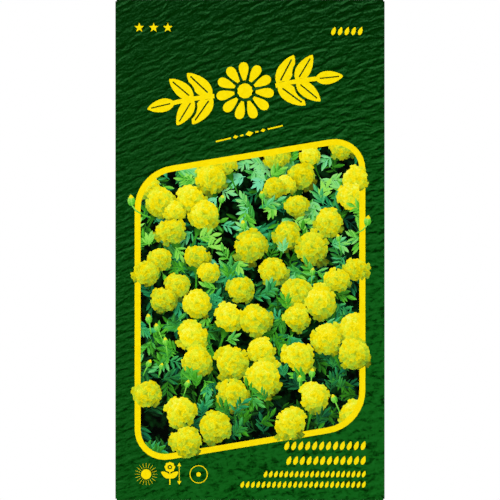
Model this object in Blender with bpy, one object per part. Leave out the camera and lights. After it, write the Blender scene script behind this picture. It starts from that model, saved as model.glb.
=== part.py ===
"""A sealed paper seed packet lying on its back: one printed sheet folded round a sachet of loose seeds.

The origin is under the middle of the packet, on the surface it lies on. +Y is the packet's top
end, +Z is the way its printed front faces. Lengths are in metres.
"""

import math
import random

import bmesh
import bpy
from mathutils import Vector

MM = 0.001

# Outline of the closed packet, and the paper it is folded from
PACKET_WIDTH = 80.0 * MM
PACKET_HEIGHT = 149.0 * MM
PAPER = 0.15 * MM
GLUE_LINE = 0.08 * MM

# Flaps and the lap of the back seam
SEAM_LAP = 9.0 * MM
SEAM_JOG_START = 5.2 * MM
SEAM_JOG_END = 8.0 * MM
TOP_FLAP = 14.0 * MM
BOTTOM_FLAP = 11.0 * MM
FLAP_TAPER = 3.0 * MM

# How the closed packet bulges: middle of the paper's thickness, above the table
SIDE_FOLD_RADIUS = 0.30 * MM
FRONT_AT_EDGE = 1.40 * MM
FRONT_RISE = 2.20 * MM
FRONT_SIDE_RAMP = 26.0 * MM
FRONT_TOP_RAMP = 62.0 * MM
FRONT_BOTTOM_RAMP = 34.0 * MM
BACK_SIDE_RAMP = 18.0 * MM
BACK_TOP_RAMP = 58.0 * MM
BACK_BOTTOM_RAMP = 24.0 * MM

# Inner sachet and its seeds
SACHET_WIDTH = 56.0 * MM
SACHET_HEIGHT = 76.0 * MM
SACHET_MIDDLE_Y = -20.0 * MM
SACHET_FILM = 0.10 * MM
SACHET_SEAL = 5.0 * MM
SACHET_RAMP = 5.0 * MM
RESTING_GAP = 0.30 * MM
SEED_COUNT = 36
SEED_RADIUS = 0.45 * MM
SEED_BODY = 7.0 * MM
SEED_LENGTH = 10.4 * MM
SEED_SIDES = 6
SEED_RAGGED = 0.8 * MM
SEED_HOLLOW = 1.6 * MM
SEED_CLEARANCE = 0.25 * MM
SEED_DRAW = 11

# Worked out from the sizes above
PLY_PITCH = PAPER + GLUE_LINE
BACK_AT_EDGE = FRONT_AT_EDGE - 2 * SIDE_FOLD_RADIUS
BACK_AT_REST = PAPER / 2 + PLY_PITCH
BACK_DROP = BACK_AT_EDGE - BACK_AT_REST
FLAP_LEVEL = BACK_AT_EDGE - 2 * PLY_PITCH
END_FOLD_RADIUS = (FRONT_AT_EDGE - FLAP_LEVEL) / 2
SIDE_FOLD_X = PACKET_WIDTH / 2 - SIDE_FOLD_RADIUS - PAPER / 2
END_FOLD_Y = PACKET_HEIGHT / 2 - END_FOLD_RADIUS - PAPER / 2
SACHET_ABOVE_BACK = PAPER / 2 + RESTING_GAP + SACHET_FILM / 2
SEAL_PITCH = SACHET_FILM + RESTING_GAP
SEEDS_ABOVE_FLOOR = SACHET_FILM / 2 + RESTING_GAP + SEED_RADIUS
SACHET_LIFT = 2 * SEEDS_ABOVE_FLOOR - SEAL_PITCH

# Faces in each stretch of the sheet
FOLD_STEPS = 4
FRONT_COLUMNS = 20
SHEET_ROWS = 32
PANEL_COLUMNS = 8
JOG_COLUMNS = 4
LAP_COLUMNS = 3
FLAP_ROWS = 3
SACHET_COLUMNS = 16
SACHET_ROWS = 22

# Corners of neighbouring patches nearer than this are one corner
WELD = 0.001 * MM


def clear_scene():
    for thing in list(bpy.data.objects):
        bpy.data.objects.remove(thing)


def paint(name, colour, roughness):
    material = bpy.data.materials.new(name)
    material.use_nodes = True
    shader = material.node_tree.nodes["Principled BSDF"]
    shader.inputs["Base Color"].default_value = (*colour, 1.0)
    shader.inputs["Roughness"].default_value = roughness
    shader.inputs["Metallic"].default_value = 0.0
    return material


def evenly(start, end, count):
    """count + 1 values from start to end."""
    return [start + (end - start) * i / count for i in range(count + 1)]


def ease(t):
    """0 to 1 with no slope at either end."""
    t = min(max(t, 0.0), 1.0)
    return t * t * (3 - 2 * t)


def bulge(x, y, side_ramp, top_ramp, bottom_ramp):
    """0 along the folded edges and 1 over the packet's belly."""
    return (
        ease((SIDE_FOLD_X - abs(x)) / side_ramp)
        * ease((END_FOLD_Y - y) / top_ramp)
        * ease((END_FOLD_Y + y) / bottom_ramp)
    )


def front_level(x, y):
    rise = bulge(x, y, FRONT_SIDE_RAMP, FRONT_TOP_RAMP, FRONT_BOTTOM_RAMP)
    return FRONT_AT_EDGE + FRONT_RISE * rise


def back_level(x, y):
    """The back panels, which come down from the side folds to lie flat under the belly."""
    return BACK_AT_EDGE - BACK_DROP * bulge(x, y, BACK_SIDE_RAMP, BACK_TOP_RAMP, BACK_BOTTOM_RAMP)


def overlap_level(x, y):
    """The right back panel steps down by one ply where it laps over the left one."""
    step = 1 - ease((x - SEAM_JOG_START) / (SEAM_JOG_END - SEAM_JOG_START))
    return back_level(x, y) - PLY_PITCH * step


def add_patch(bm, place, across, along):
    """One stretch of a sheet, as a grid of faces through place(u, v)."""
    rows = [[bm.verts.new(place(u, v)) for u in across] for v in along]
    for low, high in zip(rows, rows[1:]):
        for i in range(len(across) - 1):
            bm.faces.new((low[i], low[i + 1], high[i + 1], high[i]))


def sheet_object(name, bm, thickness, material):
    """Welds the patches, splits both faces of the sheet alike, and gives it its thickness."""
    bmesh.ops.remove_doubles(bm, verts=bm.verts, dist=WELD)
    bmesh.ops.triangulate(bm, faces=bm.faces)
    mesh = bpy.data.meshes.new(name)
    bm.to_mesh(mesh)
    bm.free()
    mesh.materials.append(material)
    mesh.shade_smooth()
    sheet = bpy.data.objects.new(name, mesh)
    bpy.context.scene.collection.objects.link(sheet)
    solidify = sheet.modifiers.new("thickness", "SOLIDIFY")
    solidify.thickness = thickness
    solidify.offset = 0
    return sheet


def add_back_panel(bm, side, level, rows):
    """The side fold and the back panel beyond it. side is 1 for the right panel and -1 for the left."""

    def fold(turn, y):
        x = SIDE_FOLD_X + SIDE_FOLD_RADIUS * math.sin(turn)
        z = FRONT_AT_EDGE - SIDE_FOLD_RADIUS * (1 - math.cos(turn))
        return Vector((side * x, y, z))

    def panel(inward, y):
        x = side * (SIDE_FOLD_X - inward)
        return Vector((x, y, level(x, y)))

    # Both panels have the columns that the jog needs, though only the right one steps there
    jog_from, jog_to = SIDE_FOLD_X - SEAM_JOG_END, SIDE_FOLD_X - SEAM_JOG_START
    open_panel = evenly(0, jog_from, PANEL_COLUMNS)
    jog = evenly(jog_from, jog_to, JOG_COLUMNS)
    lap = evenly(jog_to, SIDE_FOLD_X + SEAM_LAP / 2, LAP_COLUMNS)
    across = open_panel + jog[1:] + lap[1:]
    turns = evenly(0, math.pi, FOLD_STEPS)
    if side < 0:
        turns = turns[::-1]
        across = across[::-1]
    add_patch(bm, fold, turns, rows)
    add_patch(bm, panel, across, rows)


def add_end_flap(bm, end, length, columns):
    """The end fold and the flap beyond it. end is 1 for the top flap and -1 for the bottom one."""

    def fold(x, turn):
        y = END_FOLD_Y + END_FOLD_RADIUS * math.sin(turn)
        z = FRONT_AT_EDGE - END_FOLD_RADIUS * (1 - math.cos(turn))
        return Vector((x, end * y, z))

    def flap(x, inward):
        narrowed = x * (1 - FLAP_TAPER / SIDE_FOLD_X * inward / length)
        y = end * (END_FOLD_Y - inward)
        return Vector((narrowed, y, back_level(narrowed, y) - 2 * PLY_PITCH))

    turns = evenly(0, math.pi, FOLD_STEPS)
    rows = evenly(0, length, FLAP_ROWS)
    if end < 0:
        turns = turns[::-1]
        rows = rows[::-1]
    add_patch(bm, fold, columns, turns)
    add_patch(bm, flap, columns, rows)


def build_envelope(paper):
    """The folded sheet: front panel, two back panels that lap at the seam, and a flap at each end."""
    bm = bmesh.new()
    columns = evenly(-SIDE_FOLD_X, SIDE_FOLD_X, FRONT_COLUMNS)
    rows = evenly(-END_FOLD_Y, END_FOLD_Y, SHEET_ROWS)
    add_patch(bm, lambda x, y: Vector((x, y, front_level(x, y))), columns, rows)
    add_back_panel(bm, 1, overlap_level, rows)
    add_back_panel(bm, -1, back_level, rows)
    add_end_flap(bm, 1, TOP_FLAP, columns)
    add_end_flap(bm, -1, BOTTOM_FLAP, columns)
    return sheet_object("envelope", bm, PAPER, paper)


def sachet_floor(x, y):
    """Back web of the sachet, which lies on the packet's back panels."""
    return back_level(x, y) + SACHET_ABOVE_BACK


def sachet_cover(x, y):
    """Front web of the sachet: close to the back one at its seals, and lifted over the seeds inside them."""
    inside_x = SACHET_WIDTH / 2 - SACHET_SEAL - abs(x)
    inside_y = SACHET_HEIGHT / 2 - SACHET_SEAL - abs(y - SACHET_MIDDLE_Y)
    lift = ease(inside_x / SACHET_RAMP) * ease(inside_y / SACHET_RAMP)
    return sachet_floor(x, y) + SEAL_PITCH + SACHET_LIFT * lift


def build_sachet(film):
    """Two webs of thin paper, heat-sealed together round their edge."""
    columns = evenly(-SACHET_WIDTH / 2, SACHET_WIDTH / 2, SACHET_COLUMNS)
    low, high = SACHET_MIDDLE_Y - SACHET_HEIGHT / 2, SACHET_MIDDLE_Y + SACHET_HEIGHT / 2
    rows = evenly(low, high, SACHET_ROWS)
    for name, level in (("sachet_back_web", sachet_floor), ("sachet_front_web", sachet_cover)):
        bm = bmesh.new()
        add_patch(bm, lambda x, y: Vector((x, y, level(x, y))), columns, rows)
        sheet_object(name, bm, SACHET_FILM, film)


def seed_mesh(name, husk):
    """A marigold seed: a slim ribbed body along +X, with a short flared brush at its far end."""
    stations = [
        (0.0, 0.25 * SEED_RADIUS),
        (0.12 * SEED_BODY, 0.62 * SEED_RADIUS),
        (0.50 * SEED_BODY, SEED_RADIUS),
        (0.90 * SEED_BODY, 0.86 * SEED_RADIUS),
        (SEED_BODY, 0.48 * SEED_RADIUS),
        (SEED_LENGTH, 0.85 * SEED_RADIUS),
    ]
    bm = bmesh.new()
    rings = []
    for number, (along, radius) in enumerate(stations):
        ring = []
        for side in range(SEED_SIDES):
            turn = 2 * math.pi * side / SEED_SIDES
            ragged = SEED_RAGGED if number == len(stations) - 1 and side % 2 else 0.0
            place = (along - ragged, radius * math.cos(turn), radius * math.sin(turn))
            ring.append(bm.verts.new(place))
        rings.append(ring)
    for near, far in zip(rings, rings[1:]):
        for side in range(SEED_SIDES):
            after = (side + 1) % SEED_SIDES
            bm.faces.new((near[side], near[after], far[after], far[side]))
    bm.faces.new(rings[0][::-1])
    hollow = bm.verts.new((SEED_LENGTH - SEED_HOLLOW, 0, 0))
    last = rings[-1]
    for side in range(SEED_SIDES):
        bm.faces.new((last[side], last[(side + 1) % SEED_SIDES], hollow))
    bmesh.ops.recalc_face_normals(bm, faces=bm.faces)
    mesh = bpy.data.meshes.new(name)
    bm.to_mesh(mesh)
    bm.free()
    mesh.materials.append(husk)
    return mesh


def apart(first, second):
    """Shortest distance between two straight seeds lying in one plane, each given by its two ends."""

    def to_line(point, line):
        start, end = line
        run = end - start
        share = min(max((point - start).dot(run) / run.length_squared, 0.0), 1.0)
        return (point - start - run * share).length

    def side_of(line, point):
        run, off = line[1] - line[0], point - line[0]
        return run.x * off.y - run.y * off.x

    crossing = (
        side_of(first, second[0]) * side_of(first, second[1]) < 0
        and side_of(second, first[0]) * side_of(second, first[1]) < 0
    )
    if crossing:
        return 0.0
    return min(
        to_line(first[0], second),
        to_line(first[1], second),
        to_line(second[0], first),
        to_line(second[1], first),
    )


def scatter_seeds():
    """Where each seed lies: (tail end, direction), drawn one by one so that none lies on another."""
    draw = random.Random(SEED_DRAW)
    half_width = SACHET_WIDTH / 2 - SACHET_SEAL - SACHET_RAMP
    half_height = SACHET_HEIGHT / 2 - SACHET_SEAL - SACHET_RAMP
    laid = []
    while len(laid) < SEED_COUNT:
        turn = draw.uniform(0, 2 * math.pi)
        middle = Vector((draw.uniform(-1, 1) * half_width, draw.uniform(-1, 1) * half_height))
        half = Vector((math.cos(turn), math.sin(turn))) * SEED_LENGTH / 2
        ends = (middle - half, middle + half)
        inside = all(abs(p.x) < half_width and abs(p.y) < half_height for p in ends)
        room = 2 * SEED_RADIUS + SEED_CLEARANCE
        if inside and all(apart(ends, other[:2]) > room for other in laid):
            laid.append((*ends, turn))
    return laid


def build_seeds(husk):
    """Loose seeds in one layer on the sachet's back web."""
    mesh = seed_mesh("marigold_seed", husk)
    level = sachet_floor(0, SACHET_MIDDLE_Y) + SEEDS_ABOVE_FLOOR
    for number, (tail, _, turn) in enumerate(scatter_seeds(), start=1):
        seed = bpy.data.objects.new(f"seed_{number:02d}", mesh)
        seed.location = (tail.x, tail.y + SACHET_MIDDLE_Y, level)
        seed.rotation_euler = (0, 0, turn)
        bpy.context.scene.collection.objects.link(seed)


def main():
    clear_scene()
    printed_paper = paint("printed_paper", (0.010, 0.075, 0.014), 0.45)
    sachet_paper = paint("sachet_paper", (0.80, 0.78, 0.72), 0.60)
    seed_husk = paint("seed_husk", (0.030, 0.024, 0.020), 0.70)
    build_envelope(printed_paper)
    build_sachet(sachet_paper)
    build_seeds(seed_husk)


main()
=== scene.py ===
"""A sealed paper packet of marigold seed, lying on its back, dressed for a studio picture.

The printed sheet, the sachet in it and the loose seeds are made in the order they go together.
Lengths are in millimetres until a mesh is placed, and metres after that.
"""

import math
import random

import bpy
import numpy as np
from mathutils import Matrix, Vector
from mathutils.bvhtree import BVHTree
from mathutils.geometry import delaunay_2d_cdt


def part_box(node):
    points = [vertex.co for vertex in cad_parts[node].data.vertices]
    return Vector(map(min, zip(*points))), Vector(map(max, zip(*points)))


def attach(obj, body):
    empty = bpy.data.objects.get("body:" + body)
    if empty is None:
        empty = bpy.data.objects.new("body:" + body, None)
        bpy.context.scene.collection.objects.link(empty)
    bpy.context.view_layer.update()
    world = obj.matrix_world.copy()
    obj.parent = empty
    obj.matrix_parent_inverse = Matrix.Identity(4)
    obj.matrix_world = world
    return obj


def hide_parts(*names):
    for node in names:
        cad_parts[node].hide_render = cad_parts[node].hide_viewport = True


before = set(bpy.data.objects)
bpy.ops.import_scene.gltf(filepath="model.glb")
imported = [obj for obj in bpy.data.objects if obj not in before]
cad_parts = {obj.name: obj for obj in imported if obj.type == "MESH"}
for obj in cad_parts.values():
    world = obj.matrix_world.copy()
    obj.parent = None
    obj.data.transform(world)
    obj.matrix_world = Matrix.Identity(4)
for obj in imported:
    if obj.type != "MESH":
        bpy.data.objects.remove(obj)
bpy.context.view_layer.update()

MM = 0.001


# The envelope's form. One sheet of coated paper, 0.15 mm thick, goes round the sachet: the printed
# front, a fold down each side, two back panels lapped at a glued seam, and a glued flap at each end.
# The sheet is described flat, as it is cut, and each point of it is then carried to its folded place.
PAPER = 0.15
PLY_PITCH = 0.23
SIDE_FOLD_RADIUS = 0.30
SEAM_LAP = 9.0
SEAM_JOG = (5.2, 8.0)
TOP_FLAP, BOTTOM_FLAP = 14.0, 11.0
FLAP_TAPER = 3.0
FRONT_AT_EDGE = 1.40
FRONT_RISE = 2.20
FRONT_RAMPS = (26.0, 62.0, 34.0)
BACK_RAMPS = (18.0, 58.0, 24.0)

envelope_low, envelope_high = (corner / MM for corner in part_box("envelope"))
BACK_AT_EDGE = FRONT_AT_EDGE - 2 * SIDE_FOLD_RADIUS
BACK_DROP = BACK_AT_EDGE - PAPER / 2 - PLY_PITCH
END_FOLD_RADIUS = (FRONT_AT_EDGE - BACK_AT_EDGE + 2 * PLY_PITCH) / 2
SIDE_FOLD_X = envelope_high.x - SIDE_FOLD_RADIUS - PAPER / 2
END_FOLD_Y = envelope_high.y - END_FOLD_RADIUS - PAPER / 2
SIDE_TURN = math.pi * SIDE_FOLD_RADIUS
END_TURN = math.pi * END_FOLD_RADIUS
SEAM_REACH = SIDE_FOLD_X + SIDE_TURN + SIDE_FOLD_X + SEAM_LAP / 2

# How the sachet inside shows through the front: the rim of its seals, and the seeds as faint lumps
SACHET_MIDDLE_Y = -20.0
SACHET_HALF = (28.0, 38.0)
RIM_HEIGHT, RIM_FADE = 0.05, 3.0
LUMP_HEIGHT, LUMP_WIDTH = 0.05, 2.6

seed_nodes = sorted(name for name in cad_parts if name.startswith("seed_"))
seed_middles = [sum(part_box(name), Vector()) / 2 / MM for name in seed_nodes]


def ease(t):
    """0 to 1 with no slope at either end."""
    t = np.clip(t, 0.0, 1.0)
    return t * t * (3 - 2 * t)


def bulge(x, y, side_ramp, top_ramp, bottom_ramp):
    """0 along the folded edges and 1 over the packet's belly."""
    across = ease((SIDE_FOLD_X - np.abs(x)) / side_ramp)
    return across * ease((END_FOLD_Y - y) / top_ramp) * ease((END_FOLD_Y + y) / bottom_ramp)


def front_level(x, y):
    """The front panel over the sachet, a little dented between the things that hold it up."""
    rim_x = ease((SACHET_HALF[0] + RIM_FADE / 2 - np.abs(x)) / RIM_FADE)
    rim_y = ease((SACHET_HALF[1] + RIM_FADE / 2 - np.abs(y - SACHET_MIDDLE_Y)) / RIM_FADE)
    lumps = np.zeros_like(x)
    for seed in seed_middles:
        away = (x - seed.x) ** 2 + (y - seed.y) ** 2
        lumps = np.maximum(lumps, np.exp(-away / LUMP_WIDTH**2))
    slack = RIM_HEIGHT * (rim_x * rim_y - 1) + LUMP_HEIGHT * (lumps - 1)
    return FRONT_AT_EDGE + bulge(x, y, *FRONT_RAMPS) * (FRONT_RISE + slack)


def back_level(x, y, seam_side):
    """The back panels. The right one, whose seam_side is 1, steps over the left one where they lap."""
    step = 1 - ease((x - SEAM_JOG[0]) / (SEAM_JOG[1] - SEAM_JOG[0]))
    return BACK_AT_EDGE - BACK_DROP * bulge(x, y, *BACK_RAMPS) - PLY_PITCH * step * seam_side


def folded(s, t):
    """Carries points (s, t) of the flat sheet to the middle of the folded paper's thickness."""
    over_side, over_end = np.abs(s) - SIDE_FOLD_X, np.abs(t) - END_FOLD_Y
    place = np.stack([s, t, front_level(s, t)], axis=-1)

    turn = np.clip(over_side / SIDE_FOLD_RADIUS, 0.0, math.pi)
    inward = np.maximum(over_side - SIDE_TURN, 0.0)
    x = np.sign(s) * (SIDE_FOLD_X + SIDE_FOLD_RADIUS * np.sin(turn) - inward)
    round_side = FRONT_AT_EDGE - SIDE_FOLD_RADIUS * (1 - np.cos(turn))
    z = np.where(inward > 0, back_level(x, t, s > 0), round_side)
    on_side = (over_side > 0) & (over_end <= 0)
    place[on_side] = np.stack([x, t, z], axis=-1)[on_side]

    turn = np.clip(over_end / END_FOLD_RADIUS, 0.0, math.pi)
    inward = np.maximum(over_end - END_TURN, 0.0)
    length = np.where(t > 0, TOP_FLAP, BOTTOM_FLAP)
    x = s * (1 - FLAP_TAPER / SIDE_FOLD_X * inward / length)
    y = np.sign(t) * (END_FOLD_Y + END_FOLD_RADIUS * np.sin(turn) - inward)
    round_end = FRONT_AT_EDGE - END_FOLD_RADIUS * (1 - np.cos(turn))
    z = np.where(inward > 0, back_level(x, y, 0) - 2 * PLY_PITCH, round_end)
    on_end = over_end > 0
    place[on_end] = np.stack([x, y, z], axis=-1)[on_end]
    return place


def outward(s, t):
    """Direction out of the printed face at points of the flat sheet."""
    reach = 0.02

    def beside(ds, dt):
        on_end, on_side = np.abs(t) > END_FOLD_Y, np.abs(s) > SIDE_FOLD_X
        u = np.where(on_end, np.clip(s + ds, -SIDE_FOLD_X, SIDE_FOLD_X), s + ds)
        v = np.where(on_side, np.clip(t + dt, -END_FOLD_Y, END_FOLD_Y), t + dt)
        return folded(u, v)

    way = np.cross(beside(reach, 0) - beside(-reach, 0), beside(0, reach) - beside(0, -reach))
    return way / np.linalg.norm(way, axis=-1, keepdims=True)


# The print. It is kept as flat shapes laid one over another from the bottom up, each in one ink, with
# points as complex numbers, s + t j, on the flat sheet. The topmost shape gives a place its ink. A
# shape's chance, from 0 to 1, varies its ink, and head is the number of the flower head that it is in.
CHANCE_STEP = 0.618
shapes = []


def lay_shape(ink, form, origin=0j, axis=1 + 0j, spread=1.0, tone=0.5, in_window=False,
              chance=None, head=-1):
    """Prints a form: its points are along + across j, on an axis from the origin, across times spread."""
    form = np.asarray(form, complex)
    points = origin + axis * (form.real + 1j * form.imag * spread)
    if (points.conj() * np.roll(points, -1)).imag.sum() < 0:
        points = points[::-1]
    if chance is None:
        chance = len(shapes) * CHANCE_STEP % 1
    shapes.append(dict(ink=ink, points=points, origin=origin, axis=axis, spread=spread, tone=tone,
                       in_window=in_window, chance=chance, head=head))


def rounded(corners, radii, steps=9):
    """A closed outline through these corners, with each corner an arc of its own radius."""
    points = []
    befores, afters = corners[-1:] + corners[:-1], corners[1:] + corners[:1]
    for before, corner, after, radius in zip(befores, corners, afters, radii):
        arriving, leaving = corner - before, after - corner
        arriving, leaving = arriving / abs(arriving), leaving / abs(leaving)
        swing = math.atan2((leaving / arriving).imag, (leaving / arriving).real)
        start = corner - arriving * radius * math.tan(abs(swing) / 2)
        side = 1j if swing > 0 else -1j
        centre = start + arriving * side * radius
        for step in range(steps + 1):
            points.append(centre - arriving * side * radius * np.exp(1j * swing * step / steps))
    return points


def ring(radius, count, lobes=0, depth=0.0):
    """Points round a circle, whose edge may be scalloped."""
    turns = np.arange(count) * math.tau / count
    return radius * (1 + depth * np.cos(lobes * turns)) * np.exp(1j * turns)


def stroke(path, width):
    """The outline of a line of this width along a path of points."""
    path = np.asarray(path, complex)
    way = np.gradient(path)
    side = 0.5j * width * way / np.abs(way)
    return np.concatenate([path - side, (path + side)[::-1]])


def blade(count):
    """A pointed leaf from 0 to 1, widest a little before its middle."""
    turns = np.arange(count) * math.tau / count
    reach = np.abs(np.sin(turns)) ** 1.4 * (1 + 0.25 * np.cos(turns))
    return (1 - np.cos(turns)) / 2 - 1j * np.sign(np.sin(turns)) * reach


def broad_petal(count):
    """A petal from 0 to 1, narrow at its foot and round at its tip."""
    turns = np.arange(count) * math.tau / count
    return (1 - np.cos(turns)) / 2 - 1j * np.sin(turns) * (0.56 - 0.44 * np.cos(turns)) / 0.83


# The ground: the green that covers the front, both flaps and a strip of each back panel. It is
# offset-printed with a pattern like grained leather, so the paper under it is smooth.
TOP_END, BOTTOM_END = END_FOLD_Y + END_TURN + TOP_FLAP, -END_FOLD_Y - END_TURN - BOTTOM_FLAP
sheet_outline = [complex(s, t) for s, t in (
    (-SEAM_REACH, -END_FOLD_Y), (-SIDE_FOLD_X, -END_FOLD_Y), (-SIDE_FOLD_X, BOTTOM_END),
    (SIDE_FOLD_X, BOTTOM_END), (SIDE_FOLD_X, -END_FOLD_Y), (SEAM_REACH, -END_FOLD_Y),
    (SEAM_REACH, END_FOLD_Y), (SIDE_FOLD_X, END_FOLD_Y), (SIDE_FOLD_X, TOP_END),
    (-SIDE_FOLD_X, TOP_END), (-SIDE_FOLD_X, END_FOLD_Y), (-SEAM_REACH, END_FOLD_Y))]
lay_shape("ground", sheet_outline)


# The marks round the picture: three stars, a leafy ornament with a daisy where a title would be, a
# thin rule under it, rows of small leaves, and the usual signs for sun, height and spacing.
STAR = [(1.0 if n % 2 == 0 else 0.42) * 1j * np.exp(-1j * math.pi * n / 5) for n in range(10)]


def lay_daisy(lay, ink, gap, centre, radius, petals=11):
    """A round flower of broad petals, with a ring of the colour under it round its middle."""
    wide = 0.98 * math.sin(math.pi / petals)
    for n in range(petals):
        way = np.exp(1j * (math.tau * (n + 0.5) / petals + 0.2))
        lay(ink, broad_petal(22), centre + 0.25 * radius * way, 0.75 * radius * way, wide)
    lay(gap, ring(0.37 * radius, 28), centre)
    lay(ink, ring(0.26 * radius, 24, petals, 0.06), centre)


def lay_branch(lay, ink, gap, root, axis, pairs, leaf_length, bend):
    """A bent stem with leaves in pairs and one at its tip. axis runs to the stem's end."""
    length = abs(axis)
    path = np.array([root + axis * (k + 1j * bend * math.sin(math.pi * k)) for k in np.linspace(0, 1, 9)])
    for n in range(pairs + 1):
        share = 0.06 + 0.86 * n / pairs
        foot = root + axis * (share + 1j * bend * math.sin(math.pi * share))
        heading = axis / length * np.exp(1j * bend * math.pi * math.cos(math.pi * share))
        for turn in (0.86, -0.86) if n < pairs else (0.0,):
            leaf = heading * leaf_length * (1 - 0.2 * share) * np.exp(1j * turn)
            lay(gap, blade(20), foot - 0.05 * leaf, 1.12 * leaf, 0.29)
            lay(ink, blade(20), foot, leaf, 0.235)
            lay(gap, stroke([0.16, 0.5, 0.86], 0.045), foot, leaf)
    lay(ink, stroke((path - root) / axis, leaf_length * 0.13 / length), root, axis)


def lay_sun(lay, ink, centre, size, rays=20):
    """A disc in a ring of rays."""
    lay(ink, ring(0.48 * size, 24), centre)
    for n in range(rays):
        lay(ink, stroke([0.60, 1.06], 0.03), centre, size * np.exp(1j * math.tau * n / rays))


def lay_plant(lay, ink, gap, foot, height):
    """A flower on a stem with two leaves, and an arrow for its height beside it."""
    head = foot + 0.77j * height
    lay(ink, stroke([foot, head], 0.05 * height))
    for side in (-1, 1):
        leaf = 0.46 * height * np.exp(1j * (math.pi / 2 - side * 0.95))
        lay(ink, blade(14), foot + 0.30j * height, leaf, 0.26)
    lay(ink, ring(0.22 * height, 48, 8, 0.07), head)
    lay(gap, ring(0.10 * height, 16), head)
    lay(ink, ring(0.05 * height, 12), head)
    beside = foot + 0.41 * height
    lay(ink, stroke([beside + 0.1j * height, beside + 0.88j * height], 0.03 * height))
    for end, way in ((0.0, -1j), (0.97j, 1j)):
        point = beside + end * height
        lay(ink, [point, point - way * height * (0.16 + 0.09j), point - way * height * (0.16 - 0.09j)])


def lay_spacing(lay, ink, gap, centre, radius):
    """A dot in a ring."""
    for colour, share, count in ((ink, 1.0, 40), (gap, 0.91, 40), (ink, 0.25, 16)):
        lay(colour, ring(share * radius, count), centre)


def lay_leaf_row(start, end, level, height):
    """Small leaves side by side, where a packet has a line of print."""
    count = round((end - start) / (0.72 * height))
    leaf = height * np.exp(1j * math.radians(70))
    for n in range(count):
        x = start + (end - 0.4 * height - start) * n / (count - 1)
        lay_shape("yellow", blade(12), complex(x, level - height / 2), leaf, 0.24)


for x in (-32.9, -28.6, -24.4):
    lay_shape("yellow", STAR, origin=complex(x, 66.05), axis=1.5)
lay_leaf_row(start=24.4, end=33.4, level=65.1, height=2.6)

TITLE_MIDDLE, TITLE_SLOPE = -1.5 + 47.2j, np.exp(1j * math.radians(9.6))
BRANCH_START, BRANCH_LENGTH = 9.2, 13.0
lay_daisy(lay_shape, "yellow", "ground", TITLE_MIDDLE, radius=8.6)
for way in (1, -1):
    root = TITLE_MIDDLE + way * BRANCH_START * TITLE_SLOPE
    lay_branch(lay_shape, "yellow", "ground", root, way * BRANCH_LENGTH * TITLE_SLOPE,
               pairs=2, leaf_length=10.2, bend=0.02 * way)

RULE_MIDDLE, RULE_SLOPE, RULE_WIDTH = -0.2 + 34.5j, np.exp(1j * math.radians(13.5)), 0.45
for at, half in ((-4.2, 0.8), (0.0, 1.2), (4.2, 0.8)):
    diamond = [half, 0.7j * half, -half, -0.7j * half]
    lay_shape("yellow", diamond, RULE_MIDDLE + at * RULE_SLOPE, RULE_SLOPE)
for start, end in ((-10.2, -5.6), (-2.8, -1.8), (1.8, 2.8), (5.6, 10.2)):
    lay_shape("yellow", stroke(RULE_MIDDLE + np.array([start, end]) * RULE_SLOPE, RULE_WIDTH))

for level, height, start in ((-58.0, 2.8, 10.5), (-62.4, 2.8, 11.1), (-66.5, 2.1, 4.3), (-69.6, 2.1, -2.6)):
    lay_leaf_row(start, end=34.3, level=level, height=height)

lay_sun(lay_shape, "yellow", centre=-30.85 - 66.6j, size=3.15)
lay_plant(lay_shape, "yellow", "ground", foot=-23.8 - 69.7j, height=6.8)
lay_spacing(lay_shape, "yellow", "ground", centre=-15.26 - 66.6j, radius=2.7)


# The back panels: pale, with what a packet's back carries, but no words. A green band, a calendar of
# twelve months, ruled lines where the directions would be, and a flower.
BACK_SHIFT = 2 * SIDE_FOLD_X + SIDE_TURN
GREEN_STRIP = 3.0
PALE_EDGE = SIDE_FOLD_X + SIDE_TURN + GREEN_STRIP
TRIM = 2
BACK_HALF = 34.0


def lay_on_back(ink, form, origin=0j, axis=1 + 0j, spread=1.0):
    """Prints a form on both back panels, as seen from behind. What lies off a panel is trimmed with it."""
    for shift in (BACK_SHIFT, -BACK_SHIFT):
        lay_shape(ink, form, origin + shift, axis, spread, chance=0.3)


def rectangle(left, right, low, high):
    return [complex(left, low), complex(right, low), complex(right, high), complex(left, high)]


for side in (1, -1):
    edges = side * PALE_EDGE, side * (SEAM_REACH + TRIM)
    lay_shape("bare_paper", rectangle(*edges, -END_FOLD_Y - TRIM, END_FOLD_Y + TRIM))

BAND_LOW, BAND_HIGH = 41.0, 54.0
BAND_MIDDLE = (BAND_LOW + BAND_HIGH) / 2 * 1j
BAND_FLOWER = 15.0 + BAND_MIDDLE
lay_on_back("ground", rectangle(-BACK_HALF, BACK_HALF, BAND_LOW, BAND_HIGH))
for x in (-29.0, -24.6, -20.2):
    lay_on_back("yellow", STAR, x + BAND_MIDDLE, axis=1.7)
lay_daisy(lay_on_back, "yellow", "ground", BAND_FLOWER, radius=5.4)
for way in (1, -1):
    lay_branch(lay_on_back, "yellow", "ground", BAND_FLOWER + way * 5.8, way * 8.0,
               pairs=2, leaf_length=4.8, bend=0.05 * way)

MONTHS, CELL_LINE = 12, 0.16
MONTHS_LOW, MONTHS_HIGH = 30.0, 36.0
SOWING, BLOOM = range(2, 5), range(5, 10)
CELL = 2 * BACK_HALF / MONTHS
lay_on_back("ground", rectangle(-BACK_HALF - CELL_LINE, BACK_HALF + CELL_LINE, MONTHS_LOW, MONTHS_HIGH))
for month in range(MONTHS):
    left = -BACK_HALF + CELL * month
    fill = "yellow" if month in SOWING else "leaf" if month in BLOOM else "bare_paper"
    lay_on_back(fill, rectangle(left + CELL_LINE, left + CELL - CELL_LINE,
                                MONTHS_LOW + 2 * CELL_LINE, MONTHS_HIGH - 2 * CELL_LINE))

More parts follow.
